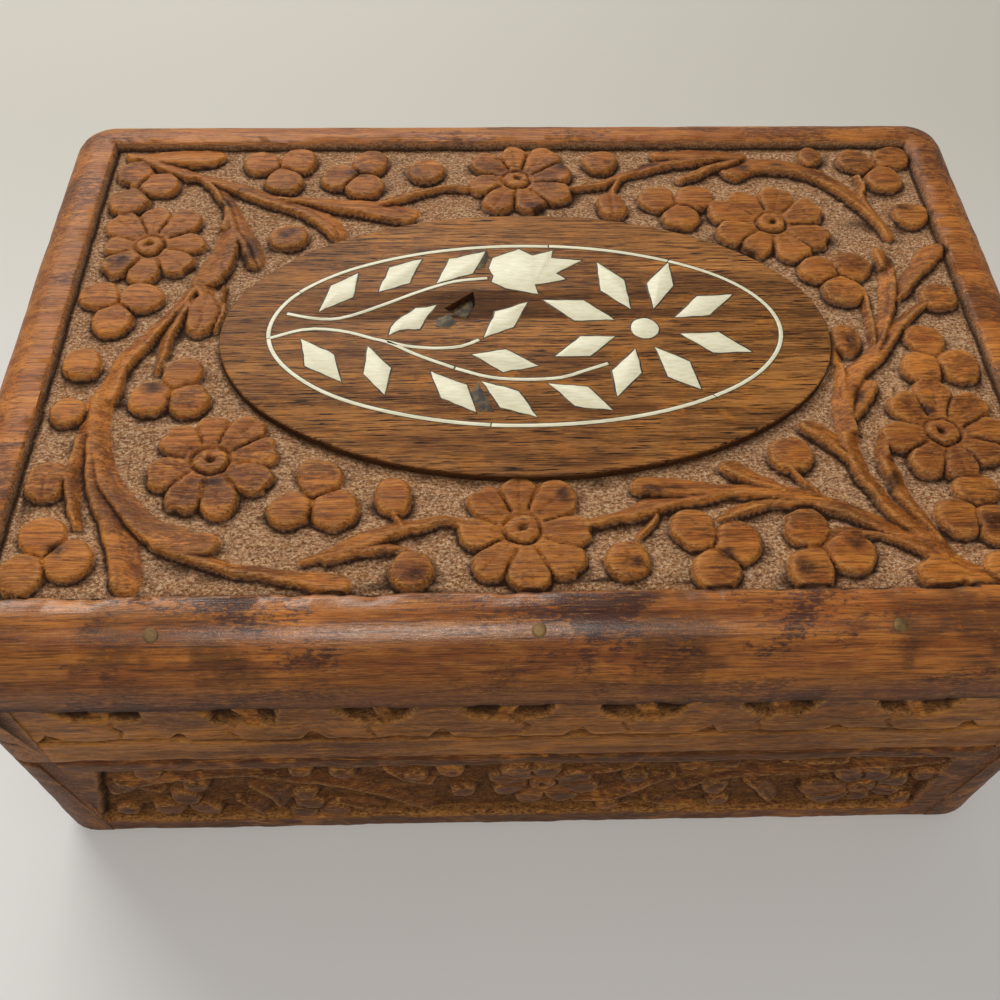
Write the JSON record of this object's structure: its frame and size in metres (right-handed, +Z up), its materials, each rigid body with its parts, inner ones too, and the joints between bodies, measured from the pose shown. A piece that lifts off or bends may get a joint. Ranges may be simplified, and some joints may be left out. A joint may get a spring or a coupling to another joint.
{
  "type": "trinket box",
  "caption": "Carved wooden trinket box for keepsakes and papers, with a hinged lid whose raised oval is inlaid with a flower spray.",
  "frame": {"origin": "middle of the underside, on the surface that the box stands on", "axes": "+X along the long front to the right, +Y from the front to the hinged back, +Z up"},
  "size_m": [0.152, 0.106, 0.063],
  "materials": {
    "carved_wood": "rubbed semi-gloss, worn",
    "plain_wood": "bare, planed",
    "bone": "polished ivory-white bone",
    "hinge_brass": "aged brass",
    "nail_brass": "dulled brass"
  },
  "bodies": {
    "base": {"base_front_wall": "carved_wood", "base_back_wall": "carved_wood", "base_left_wall": "carved_wood", "base_right_wall": "carved_wood", "base_bottom_panel": "plain_wood", "hinge_left_base_leaf": "hinge_brass", "hinge_left_base_screws": "hinge_brass", "hinge_left_pin": "hinge_brass", "hinge_right_base_leaf": "hinge_brass", "hinge_right_base_screws": "hinge_brass", "hinge_right_pin": "hinge_brass"},
    "lid": {"lid_top_panel": "carved_wood", "lid_front_rail": "carved_wood", "lid_back_rail": "carved_wood", "lid_left_rail": "carved_wood", "lid_right_rail": "carved_wood", "lid_nails": "nail_brass", "inlay_petal_1": "bone", "inlay_petal_2": "bone", "inlay_petal_3": "bone", "inlay_petal_4": "bone", "inlay_petal_5": "bone", "inlay_petal_6": "bone", "inlay_petal_7": "bone", "inlay_petal_8": "bone", "inlay_flower_centre": "bone", "inlay_tulip": "bone", "inlay_leaf_1": "bone", "inlay_leaf_2": "bone", "inlay_leaf_3": "bone", "inlay_leaf_4": "bone", "inlay_leaf_5": "bone", "inlay_leaf_6": "bone", "inlay_leaf_7": "bone", "inlay_leaf_8": "bone", "inlay_leaf_9": "bone", "inlay_leaf_10": "bone", "inlay_leaf_11": "bone", "inlay_stem_1": "bone", "inlay_stem_2": "bone", "inlay_stem_3": "bone", "inlay_stem_4": "bone", "inlay_border_1": "bone", "inlay_border_2": "bone", "inlay_border_3": "bone", "inlay_border_4": "bone", "inlay_border_5": "bone", "inlay_border_6": "bone", "hinge_left_lid_leaf": "hinge_brass", "hinge_left_lid_screws": "hinge_brass", "hinge_right_lid_leaf": "hinge_brass", "hinge_right_lid_screws": "hinge_brass"}
  },
  "joints": [
    {"name": "lid_hinge", "type": "hinge", "parent": "base", "child": "lid", "pos_m": [0, 0.0512, 0.031], "axis": [-1, 0, 0], "range_deg": [0, 105]}
  ]
}
